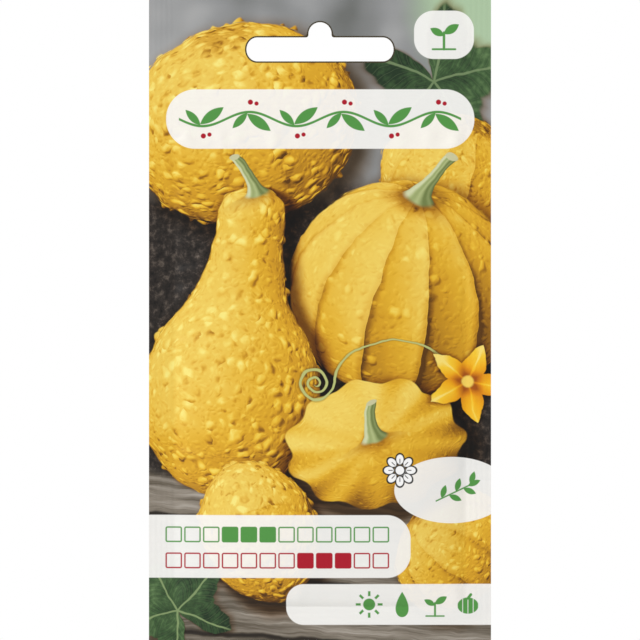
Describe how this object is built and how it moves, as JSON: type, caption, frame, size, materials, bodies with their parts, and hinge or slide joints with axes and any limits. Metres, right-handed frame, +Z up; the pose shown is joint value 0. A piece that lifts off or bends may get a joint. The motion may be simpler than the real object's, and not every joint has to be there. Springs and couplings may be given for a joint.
{
  "type": "seed packet",
  "caption": "Flat paper seed packet with a hang hole in its header, sealed edges and a bellied pouch that holds loose squash seeds.",
  "frame": {"origin": "crown of the hang hole, midway through the packet, where a display peg bears", "axes": "+Z up the packet's length, +X to the right across its front, the printed front faces -Y and the back +Y"},
  "size_m": [0.08, 0.0074, 0.15],
  "materials": {
    "front_paper": "satin coated paper, printed in golden yellow, green and grey",
    "back_paper": "satin coated paper, pale, with plain printed panels",
    "seed_coat": "dry matt seed coat, pale cream"
  },
  "bodies": {
    "root": {"front_web": "front_paper", "back_web": "back_paper", "seed_01": "seed_coat", "seed_02": "seed_coat", "seed_03": "seed_coat", "seed_04": "seed_coat", "seed_05": "seed_coat", "seed_06": "seed_coat", "seed_07": "seed_coat", "seed_08": "seed_coat", "seed_09": "seed_coat", "seed_10": "seed_coat", "seed_11": "seed_coat", "seed_12": "seed_coat", "seed_13": "seed_coat", "seed_14": "seed_coat", "seed_15": "seed_coat", "seed_16": "seed_coat", "seed_17": "seed_coat", "seed_18": "seed_coat", "seed_19": "seed_coat", "seed_20": "seed_coat", "seed_21": "seed_coat", "seed_22": "seed_coat", "seed_23": "seed_coat", "seed_24": "seed_coat"}
  },
  "joints": []
}
